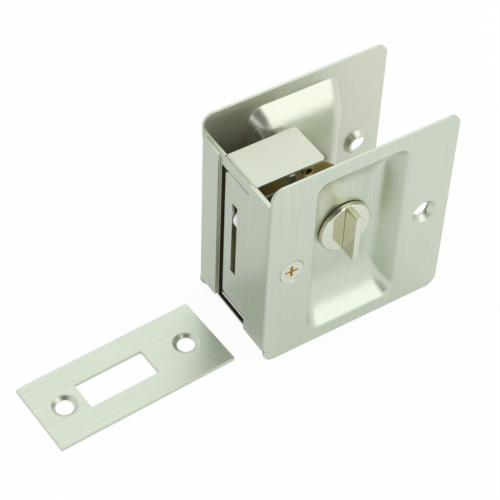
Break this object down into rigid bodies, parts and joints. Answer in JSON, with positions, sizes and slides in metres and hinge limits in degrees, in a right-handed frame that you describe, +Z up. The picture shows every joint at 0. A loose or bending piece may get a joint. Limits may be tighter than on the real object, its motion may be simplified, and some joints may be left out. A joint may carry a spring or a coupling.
{
  "type": "pocket door lock",
  "caption": "Adjustable pocket door privacy lock: recessed pull plates either side of a case with a hook bolt worked by a thumb-turn, with its strike plate lying beside it",
  "frame": {"origin": "on the door's edge, at the middle of the door's thickness and of the lock's height, on the outer face of the folded flanges", "axes": "+X into the door, -Y towards the room side with the thumb-turn, +Z up; the lock stands on the lower edges of its pull plates at z = -41.25 mm, and the strike plate lies on the same surface"},
  "size_m": [0.1524, 0.0422, 0.0826],
  "materials": {
    "satin_nickel": "satin nickel plate with a fine vertical brush",
    "polished_nickel": "polished nickel plate",
    "bright_steel": "bright plated steel",
    "zinc_steel": "zinc plated steel",
    "spring_steel": "dark hardened spring steel"
  },
  "bodies": {
    "lock": {"inside_pull_plate": "satin_nickel", "outside_pull_plate": "satin_nickel", "face_frame": "satin_nickel", "slide_frame": "satin_nickel", "case_bracket": "satin_nickel", "bolt_case": "satin_nickel", "strike_plate": "satin_nickel", "inside_case_screw": "polished_nickel", "outside_case_screw": "polished_nickel", "hook_pivot": "bright_steel", "case_cover": "zinc_steel", "anchor_tube": "zinc_steel", "upper_spacer": "zinc_steel", "lower_spacer": "zinc_steel", "rear_spacer": "zinc_steel", "near_pivot_collar": "zinc_steel", "far_pivot_collar": "zinc_steel", "spring_post": "zinc_steel", "inside_screw_post": "zinc_steel", "outside_screw_post": "zinc_steel", "detent_spring": "spring_steel"},
    "turn": {"thumb_turn": "polished_nickel", "release_disc": "polished_nickel", "turn_spindle": "zinc_steel", "turn_hub": "zinc_steel", "inside_retaining_clip": "spring_steel", "outside_retaining_clip": "spring_steel"},
    "hook": {"hook_bolt": "bright_steel", "drive_pin": "bright_steel"}
  },
  "joints": [
    {"name": "turn_spin", "type": "hinge", "parent": "lock", "child": "turn", "pos_m": [0.037, 0, 0], "axis": [0, 1, 0], "range_deg": [0, 90], "deforming": ["detent_spring"]},
    {"name": "hook_swing", "type": "hinge", "parent": "lock", "child": "hook", "pos_m": [0.013, 0, -0.0095], "axis": [0, -1, 0], "range_deg": [0, 58]}
  ],
  "couplings": [
    {"joint": "hook_swing", "follows": "turn_spin", "ratio": 0.64444}
  ]
}
